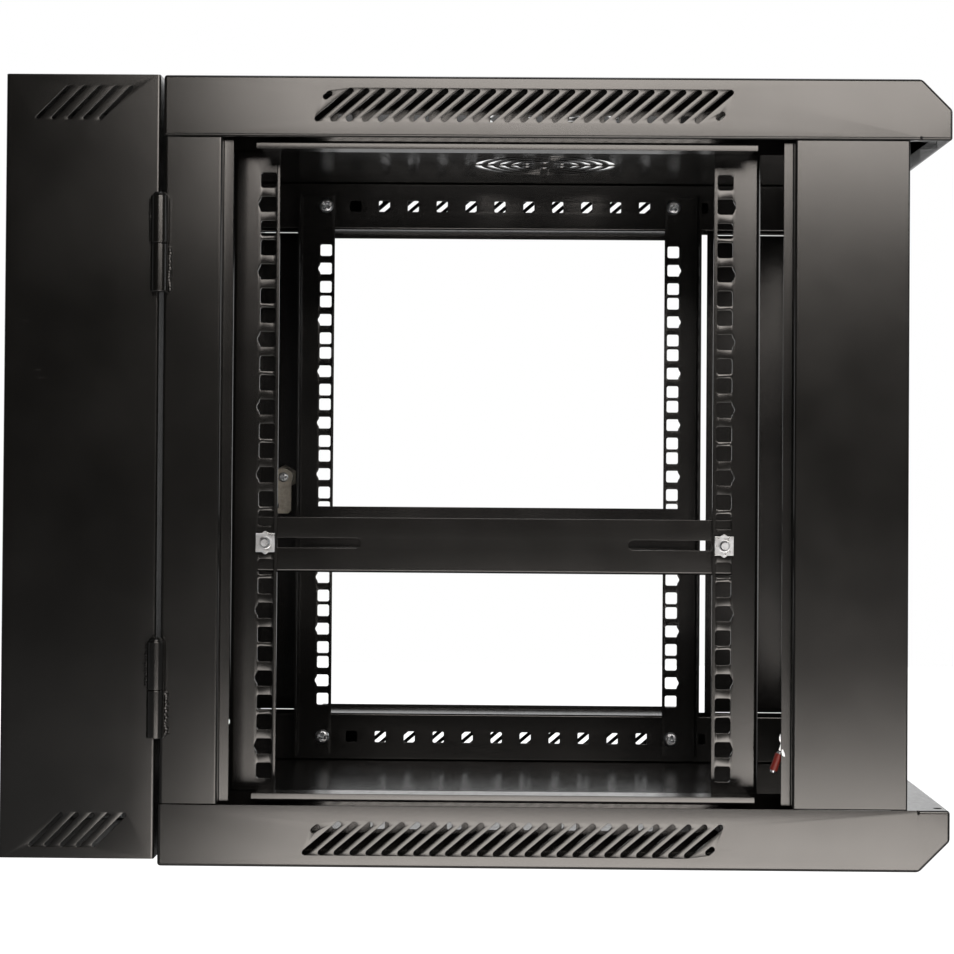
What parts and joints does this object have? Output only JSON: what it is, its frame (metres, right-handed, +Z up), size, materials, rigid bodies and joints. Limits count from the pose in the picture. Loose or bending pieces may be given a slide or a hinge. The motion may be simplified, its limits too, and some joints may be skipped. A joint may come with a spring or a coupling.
{
  "type": "wall mount network cabinet",
  "caption": "Double-section 19 inch wall cabinet frame: a body with rails, vents and fan grilles swings on barrel hinges from a shallow wall box and is held by a cam lock.",
  "frame": {"origin": "centre of the four wall bolts, on the wall plane", "axes": "+Z up, +Y into the wall, the cabinet faces -Y; the hinges are on the -X side"},
  "size_m": [0.6138, 0.6, 0.5032],
  "materials": {
    "black_paint": "satin black powder coat with a fine texture",
    "bright_zinc": "bright zinc plate",
    "nickel_plate": "nickel-plated die casting, slightly dull",
    "red_sleeve": "soft red insulating sleeve"
  },
  "bodies": {
    "wall_section": {"wall_tray": "black_paint", "wall_top_cap": "black_paint", "wall_bottom_cap": "black_paint", "cable_entry_cover_top": "black_paint", "cable_entry_cover_bottom": "black_paint", "cable_entry_screws": "bright_zinc", "hinge_wall_barrel_upper": "black_paint", "hinge_wall_barrel_lower": "black_paint"},
    "swing_body": {"bottom_beam_far": "black_paint", "bottom_beam_near": "black_paint", "bottom_cover": "black_paint", "cross_bar_cage_nuts": "bright_zinc", "cross_bar_far": "black_paint", "cross_bar_near": "black_paint", "cross_bar_screws": "bright_zinc", "earth_nut": "bright_zinc", "earth_stud": "bright_zinc", "earth_terminal": "bright_zinc", "earth_terminal_sleeve": "red_sleeve", "front_column_far": "black_paint", "front_column_near": "black_paint", "front_rail_far": "black_paint", "front_rail_near": "black_paint", "hinge_body_barrel_lower": "black_paint", "hinge_body_barrel_upper": "black_paint", "hinge_pin_lower": "black_paint", "hinge_pin_upper": "black_paint", "lock_barrel": "nickel_plate", "lock_nut": "bright_zinc", "rail_nuts": "bright_zinc", "rail_screws": "bright_zinc", "rear_column_far": "black_paint", "rear_column_near": "black_paint", "rear_rail_far": "black_paint", "rear_rail_near": "black_paint", "top_beam_far": "black_paint", "top_beam_near": "black_paint", "top_cover": "black_paint"},
    "lock_turning": {"lock_plug": "nickel_plate", "lock_cam": "bright_zinc", "lock_cam_screw": "bright_zinc"}
  },
  "joints": [
    {"name": "body_swing", "type": "hinge", "parent": "wall_section", "child": "swing_body", "pos_m": [-0.3058, -0.099, 0], "axis": [0, 0, -1], "range_deg": [0, 95]},
    {"name": "lock_turn", "type": "hinge", "parent": "swing_body", "child": "lock_turning", "pos_m": [0.283, -0.1225, -0.00825], "axis": [1, 0, 0], "range_deg": [0, 90]}
  ]
}
